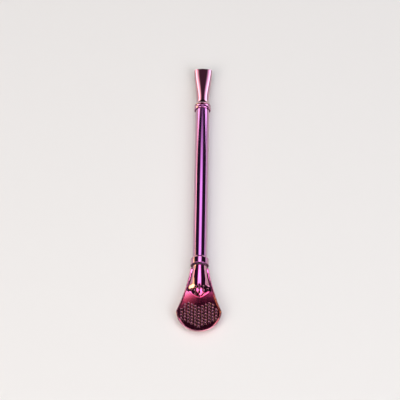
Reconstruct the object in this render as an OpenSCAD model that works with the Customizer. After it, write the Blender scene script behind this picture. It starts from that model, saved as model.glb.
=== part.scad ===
// Bombilla: a metal drinking straw with a screw-off spoon filter.
// It lies on its back: X across the spoon, Y along the stem towards the mouthpiece, Z up.
// Millimetres.

/* [Stem] */
// length of the plain tube
tube_len = 104; // [60:1:160]
// outside diameter of the tube
tube_d = 8; // [6:0.1:10]
// wall of the tube
tube_wall = 0.5; // [0.3:0.05:1]

/* [Mouthpiece] */
// length from its seat on the tube to the lip
mouth_len = 25.1; // [16:0.1:40]
// width across the flattened lip
mouth_w = 10.65; // [8.5:0.05:14]
// thickness of the flattened lip
mouth_t = 5.4; // [4:0.1:8]
// diameter at the narrow waist
waist_d = 7.6; // [6.8:0.1:9]
// diameter of the skirt that covers the end of the tube
skirt_d = 9.6; // [8.8:0.1:12]
// length of the skirt from the seat to the waist
skirt_len = 4.3; // [2.5:0.1:8]
// wall of the mouthpiece
mouth_wall = 0.75; // [0.5:0.05:1]
// length of the spigot inside the tube
spigot_len = 8; // [4:0.5:15]

/* [Rings] */
// outside diameter of the bead ring under the mouthpiece
bead_d = 9.84; // [8.8:0.02:13]
// length of the bead ring along the stem
bead_len = 2.8; // [1.5:0.1:5]
// outside diameter of the collar above the filter
collar_d = 10.2; // [9:0.1:14]
// straight length of the collar
collar_len = 3.7; // [2:0.1:8]
// length of the chamfer on the collar's upper edge
collar_chamfer = 0.9; // [0.3:0.1:2]

/* [Screw joint] */
// diameter of the plain cylinder that stands for the male thread
shank_d = 5.9; // [4.8:0.1:6.5]
// length of the male thread past the seal
shank_len = 5; // [3:0.5:10]
// thread pitch
pitch = 1; // [0.5:0.05:1.5]
// bore through the nipple
nipple_bore = 4.4; // [3:0.1:5]
// thickness of the nipple's flange
flange_t = 0.7; // [0.4:0.1:2]
// length of the nipple's spigot inside the filter neck
nipple_spigot = 3; // [2:0.5:6]
// thickness of the sealing ring
seal_t = 0.6; // [0.4:0.1:1.5]
// outside diameter of the sealing ring
seal_d = 7.4; // [6.8:0.1:8]

/* [Filter] */
// length of the filter from the tip to the end of its neck
head_len = 38.7; // [30:0.1:60]
// radius of the round end of the spoon
bowl_r = 12.6; // [9:0.1:18]
// radius of the hollow curve of each flank
flank_r = 105; // [60:1:300]
// radius that eases the widest corner of the spoon
corner_r = 3; // [1.6:0.1:6]
// width across the shoulders at the neck
shoulder_w = 10.5; // [9.4:0.1:14]
// radius of the shoulders
shoulder_r = 1.3; // [0.8:0.1:2]
// outside diameter of the neck
neck_d = 7.7; // [7:0.1:9]
// sheet thickness of both pressings
sheet = 0.6; // [0.4:0.05:0.9]
// depth of the back below the stem's centre line
bowl_depth = 5.1; // [4.4:0.1:8]
// share of the half width that is flat on the back
land_share = 0.42; // [0.3:0.01:0.6]
// height of the rim above the front plate
rim_h = 0.6; // [0.3:0.05:1.5]
// width of the ledge that carries the front plate
ledge_w = 0.6; // [0.4:0.05:1]
// how far the hood's ridge may flatten beyond the round of the neck
ridge_flat = 1.4; // [0.2:0.1:2]
// length over which the toe of the hood rises
toe_len = 5.5; // [4:0.1:7]
// run back of the toe's edge for each millimetre away from the middle
toe_spread = 0.75; // [0.5:0.01:1]
// radius of the nose of the toe
toe_nose = 1.5; // [0.8:0.1:3]
// flat margin between the foot of the hood and the edge of the plate
hood_margin = 0.35; // [0.2:0.05:0.8]

/* [Holes] */
// diameter of the filter holes
hole_d = 1.05; // [0.6:0.05:1.4]
// distance between holes along a column, as a share of the round end's radius
pitch_share = 0.1476; // [0.12:0.0002:0.2]
// distance between columns, as a share of the round end's radius
column_share = 0.1516; // [0.12:0.0002:0.17]
// distance from the tip to the lowest hole, as a share of the round end's radius
start_share = 0.23; // [0.2:0.005:0.4]

/* [Fits] */
// radial gap of a brazed or pressed spigot
braze_gap = 0.04; // [0.02:0.01:0.1]
// radial gap of the screw joint
screw_gap = 0.05; // [0.02:0.01:0.1]
// gap round the edge of the front plate
plate_gap = 0.08; // [0.04:0.01:0.15]

/* [Hidden] */
$fn = 96;
eps = 0.01;
// rows of holes in each column of the plate from the middle out
plate_rows = [7, 7, 7, 7, 6, 4];
// holes in each column of the hood's toe: place across, and places along from the toe
toe_columns = [[0, [0.5, 2.1, 4, 6.1]], [2.15, [1.6, 3.3, 5.1]], [4.5, [4.5]]];
// points along one side of the spoon's outline: round end, corner, flank, shoulder
n_end = 16;
n_corner = 4;
n_flank = 12;
n_turn = 4;
n_half = n_end + n_corner + n_flank + n_turn;
n_loop = 2 * n_half + 1;
// steps down the curved back, points round the mouthpiece and steps along its flare
n_down = 8;
n_round = 60;
n_flare = 10;
n_skirt = 8;
// points across the hood, and steps along its toe and along the rest of it
n_across = 28;
n_toe = 12;
n_ridge = 8;

tube_r = tube_d / 2;
bore_r = tube_r - tube_wall;
neck_r = neck_d / 2;
shank_r = shank_d / 2;
// places along the stem, from the tip
flange_y = head_len + flange_t;
stem_y = flange_y + seal_t;
seat_y = stem_y + tube_len;
total_len = seat_y + mouth_len;
// the stem's centre line lies at the height of the widest piece that it rests on
axis_z = max(bowl_depth, collar_d / 2, bead_d / 2);
bush_len = shank_len + pitch;
rim_edge = sheet;
plate_edge = rim_edge + plate_gap;
hood_edge = plate_edge + hood_margin;
// the field of holes and the toe of the hood go with the round end
hole_pitch = bowl_r * pitch_share;
hole_col = bowl_r * column_share;
hole_start = bowl_r * start_share;
toe_y = bowl_r * 1.635;
end_c = [0, bowl_r];
// the flank is an arc through the edge of the round end and the shoulder
corner = end_c + bowl_r * [cos(-3), sin(-3)];
shoulder = [shoulder_w / 2, head_len - shoulder_r];
chord = shoulder - corner;
flank_out = [chord[1], -chord[0]] / norm(chord);
flank_c = (corner + shoulder) / 2 + flank_out * sqrt(flank_r * flank_r - chord * chord / 4);
// the easing arc touches the round end and the flank, and the shoulder's arc touches the flank
corner_c = crossing(end_c, bowl_r - corner_r, flank_c, flank_r + corner_r);
turn_y = head_len - shoulder_r;
turn_c = [flank_c[0] - sqrt(pow(flank_r + shoulder_r, 2) - pow(turn_y - flank_c[1], 2)), turn_y];
a_end = angle(corner_c - end_c);
a_corner = angle(flank_c - corner_c);
a_turn = angle(flank_c - turn_c);

function angle(v) = atan2(v[1], v[0]);

// the lower point where two circles cross
function crossing(c0, r0, c1, r1) =
    let (gap = c1 - c0,
         d = norm(gap),
         along = (d * d + r0 * r0 - r1 * r1) / (2 * d),
         off = sqrt(r0 * r0 - along * along),
         u = gap / d)
    c0 + along * u + off * [u[1], -u[0]];

// half width of the outline, drawn in by e, where it follows the flank
function flank_x(y, e) = flank_c[0] - sqrt(pow(flank_r + e, 2) - pow(y - flank_c[1], 2));

// points on an arc, without the last one
function arc(c, r, a0, a1, n) =
    [for (i = [0:n - 1]) c + r * [cos(a0 + (a1 - a0) * i / n), sin(a0 + (a1 - a0) * i / n)]];

// one side of the spoon's outline, drawn in by e, from the tip to the end of the neck
function half_outline(e) =
    concat(arc(end_c, bowl_r - e, -90, a_end, n_end),
           arc(corner_c, corner_r - e, a_end, a_corner, n_corner),
           arc(flank_c, flank_r + e, a_corner + 180, a_turn + 180, n_flank),
           arc(turn_c, shoulder_r - e, a_turn, 90, n_turn),
           [[turn_c[0], head_len - e]]);

// the whole outline, anticlockwise from the tip
function outline(e) =
    let (h = half_outline(e))
    concat(h, [for (i = [n_half:-1:1]) [-h[i][0], h[i][1]]]);

// depth of the back, which runs up to the neck
function depth(y) =
    let (y0 = head_len * 0.62,
         t = min(max((y - y0) / (head_len - shoulder_r - y0), 0), 1))
    bowl_depth + (neck_r - bowl_depth) * t * t * (3 - 2 * t);

// one ring of the back: the outline drawn in towards the spoon's middle line
function back_ring(e, f, top, share, skin) =
    [for (p = outline(e))
        let (y = max(p[1], bowl_r))
        [p[0] * f, y + (p[1] - y) * f, top - (depth(y) - skin + top) * share]];

// a curved back from the rim at height top, down to the flat land
function back_rings(e, top, skin) =
    [for (i = [0:n_down])
        let (a = 90 * i / n_down)
        back_ring(e, land_share + (1 - land_share) * cos(a), top, sin(a), skin)];

function level_ring(e, z) = [for (p = outline(e)) [p[0], p[1], z]];

// a solid through rings of equal count, the first one on top
module loft(rings) {
    n = n_loop;
    m = len(rings);
    sides = [for (j = [0:m - 2]) for (i = [0:n - 1])
        let (k = (i + 1) % n)
        each [[j * n + i, j * n + k, (j + 1) * n + i],
              [j * n + k, (j + 1) * n + k, (j + 1) * n + i]]];
    last = (m - 1) * n;
    low = concat([[last, last + 1, last + n - 1]],
                 [for (i = [1:n_half - 1]) [last + i, last + i + 1, last + n - i - 1, last + n - i]]);
    high = concat([[1, 0, n - 1]],
                  [for (i = [1:n_half - 1]) [i + 1, i, n - i, n - i - 1]]);
    polyhedron([for (r = rings) each r], concat(sides, low, high));
}

// one oval ring of the mouthpiece: height, half width, half thickness
function oval(z, a, b) =
    let (q = 2 / (2 + 0.7 * (1 - min(b / a, 1))))
    [for (i = [0:n_round - 1])
        let (t = 360 * i / n_round)
        [a * sign(cos(t)) * pow(abs(cos(t)), q), b * sign(sin(t)) * pow(abs(sin(t)), q), z]];

// a closed wall through oval rings, the last one joined to the first
module oval_wall(rings) {
    n = n_round;
    m = len(rings);
    polyhedron([for (r = rings) each r],
        [for (j = [0:m - 1]) for (i = [0:n - 1])
            let (k = (i + 1) % n, u = (j + 1) % m)
            each [[j * n + k, j * n + i, u * n + i],
                  [j * n + k, u * n + i, u * n + k]]]);
}

// puts a shape drawn from the tip, on the stem's centre line, into the part's frame
module placed() {
    translate([0, -total_len / 2, axis_z])
        children();
}

// the same for a turned shape, drawn along Z from the tip
module turned() {
    placed()
        rotate([-90, 0, 0])
            children();
}

// a tube between two places along the stem
module sleeve(y0, y1, r_out, r_in) {
    turned()
        rotate_extrude()
            translate([r_in, y0])
                square([r_out - r_in, y1 - y0]);
}

// the flared mouthpiece, round at the seat and flattened at the lip
module mouthpiece() {
    w = mouth_w / 2;
    t = mouth_t / 2;
    r = waist_d / 2;
    s = skirt_d / 2;
    lip = mouth_wall / 2;
    y0 = seat_y + skirt_len;
    span = mouth_len - skirt_len;
    spigot_r = bore_r - braze_gap;
    in_r = spigot_r - 0.45;
    skirt = [for (i = [0:n_skirt])
        let (u = i / n_skirt, q = r + (s - r) * pow(1 - u, 2.6))
        oval(seat_y + 0.4 + (skirt_len - 0.4) * u, q, q)];
    flare = [for (i = [1:n_flare])
        let (u = i / n_flare, v = u * u * (3 - 2 * u))
        oval(y0 + (span - lip) * u, r + (w - r) * (0.3 * u + 0.7 * v),
             r + (t - r) * (0.35 * u + 0.65 * v))];
    inner = [for (i = [n_flare:-1:1])
        let (u = i / n_flare, v = u * u * (3 - 2 * u))
        oval(y0 + (span - lip) * u, in_r + (w - mouth_wall - in_r) * (0.3 * u + 0.7 * v),
             in_r + (t - mouth_wall - in_r) * (0.35 * u + 0.65 * v))];
    color([0.55, 0.2, 0.6])
        turned()
            oval_wall(concat(
                [oval(seat_y - spigot_len, spigot_r, spigot_r),
                 oval(seat_y, spigot_r, spigot_r),
                 oval(seat_y, s - 0.25, s - 0.25)],
                skirt,
                flare,
                [oval(total_len - lip * 0.3, w - lip * 0.3, t - lip * 0.3),
                 oval(total_len, w - lip, t - lip),
                 oval(total_len - lip * 0.3, w - lip * 1.7, t - lip * 1.7)],
                inner,
                [oval(y0, in_r, in_r),
                 oval(seat_y - spigot_len, in_r, in_r)]));
}

// the half-round bead soldered round the end of the tube
module upper_ring() {
    top = bead_d / 2;
    curve = bead_len * 0.54;
    color([0.6, 0.25, 0.65])
        turned()
            rotate_extrude()
                translate([0, seat_y - bead_len / 2])
                    intersection() {
                        translate([tube_r, -bead_len / 2])
                            square([top - tube_r, bead_len]);
                        union() {
                            translate([top - curve, 0])
                                circle(curve);
                            translate([tube_r, -bead_len / 2])
                                square([(top - tube_r) * 0.25, bead_len]);
                        }
                    }
}

// the plain drinking tube
module stem_tube() {
    color([0.5, 0.15, 0.6])
        sleeve(stem_y, seat_y, tube_r, bore_r);
}

// the collar over the lower end of the tube
module lower_collar() {
    r = collar_d / 2;
    edge = 0.15;
    color([0.6, 0.25, 0.65])
        turned()
            rotate_extrude()
                translate([0, stem_y])
                    polygon([[tube_r, 0], [r - edge, 0], [r, edge], [r, collar_len],
                             [tube_r + (r - tube_r) * 0.25, collar_len + collar_chamfer],
                             [tube_r, collar_len + collar_chamfer]]);
}

// the socket brazed into the tube, which takes the screw
module threaded_bush() {
    color([0.75, 0.75, 0.78])
        sleeve(stem_y, stem_y + bush_len, bore_r, shank_r + screw_gap);
}

// the soft ring that the filter is screwed up against
module seal_ring() {
    color([0.85, 0.85, 0.85])
        sleeve(flange_y, stem_y, seal_d / 2, shank_r + screw_gap);
}

// the screw that is brazed into the neck of the filter
module threaded_nipple() {
    spigot_r = neck_r - sheet - braze_gap;
    color([0.7, 0.7, 0.74])
        turned()
            rotate_extrude()
                polygon([[nipple_bore / 2, head_len - nipple_spigot],
                         [spigot_r, head_len - nipple_spigot],
                         [spigot_r, head_len],
                         [neck_r, head_len],
                         [neck_r, flange_y],
                         [shank_r, flange_y],
                         [shank_r, stem_y + shank_len - pitch * 0.4],
                         [shank_r - pitch * 0.4, stem_y + shank_len],
                         [nipple_bore / 2, stem_y + shank_len]]);
}

// half width at the foot of the hood, which narrows to the neck
function foot_x(y) =
    max(min(flank_x(min(y, turn_y), hood_edge), neck_r + (turn_y + 0.2 - y) * 0.35), neck_r);

// the toe's edge: its place along the stem at x, and its half width at y
function toe_edge(x, e) = toe_y + e * 1.2 + (norm([x, toe_nose]) - toe_nose) * toe_spread;
function toe_x(y, e) = sqrt(pow((y - toe_y - e * 1.2) / toe_spread + toe_nose, 2) - toe_nose * toe_nose);

// section of the hood: a round ridge, flatter away from the neck, with a straight slope to the foot on each side
function tent(x, y, e) =
    let (r = neck_r - e,
         f = max(foot_x(y) - e * 1.3, r + 0.0001),
         k = min(ridge_flat, (f * f - r * r) / r * 0.4),
         a = atan2(k, f) + acos((r + k) / norm([f, k])),
         xt = (r + k) * cos(a),
         zt = (r + k) * sin(a) - k,
         q = abs(x))
    q < xt ? sqrt(pow(r + k, 2) - q * q) - k : zt * max(f - q, 0) / (f - xt);

// height of the hood, drawn in by e
function hood_z(x, y, e) =
    let (u = min(max((y - toe_edge(x, e)) / toe_len, 0), 1))
    tent(x, y, e) * (1 - pow(1 - u, 2.2));

function hood_ring(y, e, low) =
    let (f = max(foot_x(y) - e * 1.3, neck_r - e), w = min(toe_x(y, e), f))
    concat([for (i = [0:n_across])
               let (x = -w * cos(180 * i / n_across))
               [x, y, hood_z(x, y, e)]],
           [[w, y, low], [-w, y, low]]);

// the hood as a solid down to the height low, drawn in by e, from its toe to the place last
module hood(e, low, last) {
    first = toe_y + e * 1.2 + 0.08;
    mid = first + toe_len + 1.5;
    places = concat([for (j = [0:n_toe - 1]) first + (mid - first) * pow(j / n_toe, 1.4)],
                    [for (j = [0:n_ridge]) mid + (last - mid) * j / n_ridge]);
    n = n_across + 3;
    m = len(places);
    polyhedron([for (y = places) each hood_ring(y, e, low)],
        concat([[for (i = [0:n - 1]) i]],
               [for (j = [0:m - 2]) for (i = [0:n - 1])
                   let (k = (i + 1) % n)
                   each [[j * n + k, j * n + i, (j + 1) * n + i],
                         [j * n + k, (j + 1) * n + i, (j + 1) * n + k]]],
               [[for (i = [n - 1:-1:0]) (m - 1) * n + i]]));
}

// a wide block above or below the seat of the front plate
module above_seat(h) {
    translate([-bowl_r * 2, 0, -sheet])
        cube([bowl_r * 4, head_len + 1, h]);
}

// true where a hole leaves enough sheet beside it
function hole_fits(x, y) =
    let (room = plate_edge + hole_d,
         low = norm([x, y - bowl_r]) < bowl_r - room)
    (y < bowl_r ? low : abs(x) < flank_x(y, 0) - room) && y < toe_edge(x, 0) - hole_d;

// staggered columns of holes, each starting half a pitch higher than the one inside it
module plate_holes() {
    for (i = [-5:5])
        for (k = [0:plate_rows[abs(i)] - 1]) {
            x = i * hole_col;
            y = hole_start + (abs(i) / 2 + k) * hole_pitch;
            if (hole_fits(x, y))
                translate([x, y, -sheet - 1])
                    cylinder(h = sheet + 2, d = hole_d);
        }
}

// one hole square to the hood
module hood_hole(x, y) {
    d = 0.05;
    n = [hood_z(x - d, y, 0) - hood_z(x + d, y, 0), hood_z(x, y - d, 0) - hood_z(x, y + d, 0), 2 * d];
    translate([x, y, hood_z(x, y, 0)])
        rotate([0, acos(n[2] / norm(n)), atan2(n[1], n[0])])
            cylinder(h = sheet * 4, d = hole_d, center = true);
}

// a fan of holes through the toe of the hood
module toe_holes() {
    for (c = toe_columns)
        for (y = c[1])
            for (side = c[0] > 0 ? [-1, 1] : [1])
                hood_hole(side * c[0], toe_y + y);
}

// the perforated front with its raised hood
module front_plate() {
    color([0.7, 0.2, 0.45])
        placed()
            difference() {
                union() {
                    translate([0, 0, -sheet])
                        linear_extrude(sheet)
                            polygon(outline(plate_edge));
                    hood(0, -sheet, head_len);
                }
                hood(sheet, -sheet - 1, head_len + 1);
                translate([0, head_len - nipple_spigot - shoulder_r, 0])
                    rotate([-90, 0, 0])
                        cylinder(h = nipple_spigot + shoulder_r + 1, r = neck_r - sheet + 0.03);
                plate_holes();
                toe_holes();
            }
}

// the pressed back with its rim, ledge and half of the neck
module back_shell() {
    inner = rim_edge + ledge_w;
    color([0.6, 0.15, 0.4])
        placed()
            difference() {
                union() {
                    loft(concat([level_ring(0, rim_h)], back_rings(0, 0, 0)));
                    difference() {
                        translate([0, head_len - shoulder_r * 3, 0])
                            rotate([-90, 0, 0])
                                cylinder(h = shoulder_r * 3, r = neck_r);
                        above_seat(neck_r * 3);
                    }
                }
                loft(concat([level_ring(rim_edge, rim_h + 1), level_ring(rim_edge, -sheet)],
                            back_rings(inner, -sheet, sheet)));
                translate([0, head_len - nipple_spigot - shoulder_r, 0])
                    rotate([-90, 0, 0])
                        cylinder(h = nipple_spigot + shoulder_r + 1, r = neck_r - sheet);
                intersection() {
                    translate([0, head_len - shoulder_r * 2, 0])
                        rotate([-90, 0, 0])
                            cylinder(h = shoulder_r * 2 + 1, r = neck_r + plate_gap);
                    translate([-neck_d, head_len - 4, -sheet])
                        cube([neck_d * 2, 6, neck_d]);
                }
            }
}

mouthpiece();
upper_ring();
stem_tube();
lower_collar();
threaded_bush();
seal_ring();
threaded_nipple();
front_plate();
back_shell();
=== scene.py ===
from math import acos, atan2, cos, hypot, pi, radians, sin, sqrt

import bmesh
import bpy
from mathutils import Matrix, Vector


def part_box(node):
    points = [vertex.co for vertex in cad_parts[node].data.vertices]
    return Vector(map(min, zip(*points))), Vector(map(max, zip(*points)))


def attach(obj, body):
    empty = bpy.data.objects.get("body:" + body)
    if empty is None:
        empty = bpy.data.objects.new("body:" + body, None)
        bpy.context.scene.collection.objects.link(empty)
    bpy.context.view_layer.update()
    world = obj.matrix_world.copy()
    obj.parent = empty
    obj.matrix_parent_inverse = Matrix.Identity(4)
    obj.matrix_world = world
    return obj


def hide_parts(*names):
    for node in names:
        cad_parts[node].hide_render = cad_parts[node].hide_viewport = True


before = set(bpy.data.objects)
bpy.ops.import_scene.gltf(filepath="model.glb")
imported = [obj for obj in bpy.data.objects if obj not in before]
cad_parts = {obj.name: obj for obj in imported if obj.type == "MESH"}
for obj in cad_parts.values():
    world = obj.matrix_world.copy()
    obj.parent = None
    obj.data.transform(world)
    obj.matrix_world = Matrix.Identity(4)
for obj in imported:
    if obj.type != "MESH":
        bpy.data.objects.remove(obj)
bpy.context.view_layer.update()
scene = bpy.context.scene
mm = 0.001
weld = 1e-7  # vertices nearer than this, in metres, become one
roundSteps = 160  # steps round the stem, unless a piece gives its own
sharpBend = 38  # edges that bend more than this, in degrees, stay sharp unless a piece gives its own
tubeLow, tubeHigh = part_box("stem_tube")
axisZ = (tubeLow.z + tubeHigh.z) / 2
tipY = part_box("back_shell")[0].y
print("frame loaded with", len(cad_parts), "nodes, stem axis at", round(axisZ / mm, 3), "mm")


# A place in millimetres: across, along from the tip, and above the stem's centre line.
def at(x, y, z):
    return Vector((x * mm, tipY + y * mm, axisZ + z * mm))


# Where a node starts and ends along the stem, in millimetres from the tip.
def reach(node):
    return [round((corner.y - tipY) / mm, 3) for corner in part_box(node)]


# An empty shape with room for two notes on each vertex: its share of the way round, and its number.
def newShape():
    bm = bmesh.new()
    bm.verts.layers.float.new("turn")
    bm.verts.layers.int.new("mark")
    return bm


def smoothStep(u):
    u = min(max(u, 0), 1)
    return u * u * (3 - 2 * u)


# Angles of a quarter turn in even steps, without the first.
def quarter(steps):
    return [pi / 2 * k / steps for k in range(1, steps + 1)]


def onlyVerts(geom):
    return [g for g in geom if isinstance(g, bmesh.types.BMVert)]


def openEdges(geom):
    return [g for g in geom if isinstance(g, bmesh.types.BMEdge) and g.is_boundary]


# A closed profile of (radius, place along the stem), turned round the stem.
def lathe(bm, points, steps=roundSteps):
    ring = [bm.verts.new(at(r, y, 0)) for r, y in points]
    edges = [bm.edges.new(pair) for pair in zip(ring, ring[1:] + ring[:1])]
    bmesh.ops.spin(bm, geom=ring + edges, cent=(0, 0, axisZ), axis=(0, 1, 0), dvec=(0, 0, 0),
                   angle=2 * pi, steps=steps, use_merge=True)
    bmesh.ops.remove_doubles(bm, verts=bm.verts, dist=weld)
    bmesh.ops.recalc_face_normals(bm, faces=bm.faces)


# Rounds the edges that bend more than a limit in degrees.
def roundEdges(bm, width, segments=3, limit=40):
    sharp = [e for e in bm.edges if len(e.link_faces) == 2 and e.calc_face_angle() > radians(limit)]
    bmesh.ops.bevel(bm, geom=sharp, offset=width * mm, offset_type="OFFSET", segments=segments,
                    profile=0.5, affect="EDGES", clamp_overlap=True, material=-1)


# A wall through rings. Each ring turns a share of the way round into a point.
def ringWall(bm, count, rings, gap=None):
    turn = bm.verts.layers.float["turn"]
    slack = 1e-4
    verts = bmesh.ops.create_circle(bm, segments=count, radius=1)["verts"]
    for v in verts:
        v[turn] = round(atan2(v.co.y, v.co.x) / (2 * pi) * count) % count / count
    if gap:
        lost = [v for v in verts if gap[0] + slack < v[turn] < gap[1] - slack]
        verts = [v for v in verts if v not in lost]
        bmesh.ops.delete(bm, geom=lost, context="VERTS")
    edges = list({e for v in verts for e in v.link_edges})
    for i, place in enumerate(rings):
        if i:
            made = bmesh.ops.extrude_edge_only(bm, edges=edges)["geom"]
            verts, edges = onlyVerts(made), openEdges(made)
            if gap:
                fresh = set(verts)
                edges = [e for e in edges if all(v in fresh for v in e.verts)]
        for v in verts:
            v.co = place(v[turn])
    return edges


# Cuts away what lies below a height and closes the cut.
def cutBelow(bm, z):
    bmesh.ops.bisect_plane(bm, geom=bm.verts[:] + bm.edges[:] + bm.faces[:], plane_co=at(0, 0, z),
                           plane_no=(0, 0, 1), clear_inner=True)
    bmesh.ops.holes_fill(bm, edges=[e for e in bm.edges if e.is_boundary])


# Smooth faces, with the edges kept sharp that bend more than a limit in degrees.
def markEdges(bm, limit=sharpBend):
    for f in bm.faces:
        f.smooth = True
    for e in bm.edges:
        e.smooth = not (len(e.link_faces) == 2 and e.calc_face_angle() > radians(limit))


def linkMesh(bm, name):
    mesh = bpy.data.meshes.new(name)
    bm.to_mesh(mesh)
    bm.free()
    obj = bpy.data.objects.new(name, mesh)
    scene.collection.objects.link(obj)
    return obj


def makeObject(bm, name, limit=sharpBend):
    bmesh.ops.remove_doubles(bm, verts=bm.verts, dist=weld)
    bmesh.ops.recalc_face_normals(bm, faces=bm.faces)
    markEdges(bm, limit)
    bm.verts.layers.float.remove(bm.verts.layers.float["turn"])
    bm.verts.layers.int.remove(bm.verts.layers.int["mark"])
    return linkMesh(bm, name)


# Large faces keep their own slope, so that their reflections stay straight.
def dress(obj, material, node, body):
    even = obj.modifiers.new("even", "WEIGHTED_NORMAL")
    even.mode, even.weight, even.keep_sharp = "FACE_AREA", 50, True
    obj.data.materials.append(material)
    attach(obj, body)
    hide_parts(node)
    print(obj.name, "stands for", node, "with", len(obj.data.polygons), "faces")


# Gives the faces that a test picks another material.
def coatFaces(obj, material, test):
    obj.data.materials.append(material)
    for face in obj.data.polygons:
        if test(face):
            face.material_index = len(obj.data.materials) - 1


# Materials

noiseSpread = (0.3, 0.7)  # where most of a noise texture's values lie


# A socket takes another node's output or a plain value.
def feed(tree, socket, value):
    if isinstance(value, bpy.types.NodeSocket):
        tree.links.new(value, socket)
    else:
        socket.default_value = value


def newGroup(name, inputs, outputs):
    tree = bpy.data.node_groups.new(name, "ShaderNodeTree")
    for socket, kind, value in inputs:
        made = tree.interface.new_socket(name=socket, in_out="INPUT", socket_type=kind)
        if value is not None:
            made.default_value = value
    for socket, kind in outputs:
        tree.interface.new_socket(name=socket, in_out="OUTPUT", socket_type=kind)
    return tree, tree.nodes.new("NodeGroupInput"), tree.nodes.new("NodeGroupOutput")


def groupNode(tree, group, values):
    node = tree.nodes.new("ShaderNodeGroup")
    node.node_tree = group
    for key, value in values.items():
        feed(tree, node.inputs[key], value)
    return node


def noiseNode(tree, vector, scale, detail=2.0, roughness=0.5, stretch=None):
    if stretch:
        wide = tree.nodes.new("ShaderNodeVectorMath")
        wide.operation = "MULTIPLY"
        wide.inputs[1].default_value = stretch
        feed(tree, wide.inputs[0], vector)
        vector = wide.outputs["Vector"]
    node = tree.nodes.new("ShaderNodeTexNoise")
    for key, value in (("Vector", vector), ("Scale", scale), ("Detail", detail), ("Roughness", roughness)):
        feed(tree, node.inputs[key], value)
    return node.outputs["Fac"]


def rangeNode(tree, value, low, high, toLow, toHigh):
    node = tree.nodes.new("ShaderNodeMapRange")
    for key, number in (("From Min", low), ("From Max", high), ("To Min", toLow), ("To Max", toHigh)):
        node.inputs[key].default_value = number
    feed(tree, node.inputs["Value"], value)
    return node.outputs["Result"]


def mathNode(tree, kind, a, b):
    node = tree.nodes.new("ShaderNodeMath")
    node.operation = kind
    feed(tree, node.inputs[0], a)
    feed(tree, node.inputs[1], b)
    return node.outputs["Value"]


def mixNode(tree, share, a, b):
    node = tree.nodes.new("ShaderNodeMix")
    node.data_type = "RGBA"
    for key, value in (("Factor", share), ("A", a), ("B", b)):
        feed(tree, node.inputs[key], value)
    return node.outputs["Result"]


def splitNode(tree, vector):
    node = tree.nodes.new("ShaderNodeSeparateXYZ")
    feed(tree, node.inputs["Vector"], vector)
    return node.outputs


# The coating's slow change of hue from place to place, and a painted warm reflection: the hue turns redder
# towards the spoon's end.
tintAndPaintedWarmth = {"patches": {"scale": 55, "detail": 2, "stretch": (1, 0.5, 1)},
        "hoodY": -0.054, "bowlY": -0.066, "paintedWarmShift": 0.3, "low": 0.32, "high": 0.68}


def makeTintAndPaintedWarmthGroup(t):
    white = (1, 1, 1, 1)
    tree, start, end = newGroup(
        "coatTintAndPaintedWarmth",
        [("Vector", "NodeSocketVector", None), ("First", "NodeSocketColor", white),
         ("Second", "NodeSocketColor", white)],
        [("Color", "NodeSocketColor")])
    vector = start.outputs["Vector"]
    slow = noiseNode(tree, vector, **t["patches"])
    # the redder hue towards the spoon's end is painted warm reflection, not the coat's own colour
    along = rangeNode(tree, splitNode(tree, vector)["Y"], t["hoodY"], t["bowlY"], -t["paintedWarmShift"], t["paintedWarmShift"])
    share = rangeNode(tree, mathNode(tree, "ADD", slow, along), t["low"], t["high"], 0, 1)
    feed(tree, end.inputs["Color"], mixNode(tree, share, start.outputs["First"], start.outputs["Second"]))
    return tree


# Fine polishing lines round the stem, a few long hairlines, and smears from handling.
polish = {"lines": {"scale": 1, "detail": 3, "roughness": 0.6, "stretch": (90, 5200, 90)},
          "smears": {"scale": 210, "detail": 3, "roughness": 0.55, "stretch": (1, 0.6, 1)},
          "hair": {"scale": 1, "detail": 1, "roughness": 0.4, "stretch": (2600, 45, 900)},
          "hairEdge": (0.68, 0.74), "lineShare": 0.55, "smearShare": 0.45, "spread": (0.35, 0.65),
          "hairShare": 0.15, "lineHeight": 0.4}


def makePolishGroup(p):
    tree, start, end = newGroup(
        "polishMarks",
        [("Vector", "NodeSocketVector", None), ("Low", "NodeSocketFloat", 0.1),
         ("High", "NodeSocketFloat", 0.2)],
        [("Roughness", "NodeSocketFloat"), ("Height", "NodeSocketFloat")])

    def times(a, b):
        return mathNode(tree, "MULTIPLY", a, b)
    vector, low, high = (start.outputs[key] for key in ("Vector", "Low", "High"))
    lines, smears, hair = (noiseNode(tree, vector, **p[key]) for key in ("lines", "smears", "hair"))
    thin = rangeNode(tree, hair, *p["hairEdge"], 0, 1)
    both = mathNode(tree, "ADD", times(lines, p["lineShare"]), times(smears, p["smearShare"]))
    worn = rangeNode(tree, both, *p["spread"], 0, 1 - p["hairShare"])
    share = mathNode(tree, "ADD", worn, times(thin, p["hairShare"]))
    rough = mathNode(tree, "ADD", low, times(share, mathNode(tree, "SUBTRACT", high, low)))
    feed(tree, end.inputs["Roughness"], rough)
    feed(tree, end.inputs["Height"], mathNode(tree, "SUBTRACT", times(lines, p["lineHeight"]), thin))
    return tree


def newMaterial(name):
    mat = bpy.data.materials.new(name)
    mat.use_nodes = True
    tree = mat.node_tree
    tree.nodes.clear()
    out = tree.nodes.new("ShaderNodeOutputMaterial")
    shader = tree.nodes.new("ShaderNodeBsdfPrincipled")
    feed(tree, out.inputs["Surface"], shader.outputs["BSDF"])
    place = tree.nodes.new("ShaderNodeTexCoord").outputs["Object"]
    return mat, tree, shader, place


def bumpInto(tree, shader, height, strength, distance):
    bump = tree.nodes.new("ShaderNodeBump")
    for key, value in (("Strength", strength), ("Distance", distance), ("Height", height)):
        feed(tree, bump.inputs[key], value)
    feed(tree, shader.inputs["Normal"], bump.outputs["Normal"])


tintAndPaintedWarmthGroup = makeTintAndPaintedWarmthGroup(tintAndPaintedWarmth)
polishGroup = makePolishGroup(polish)

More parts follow.
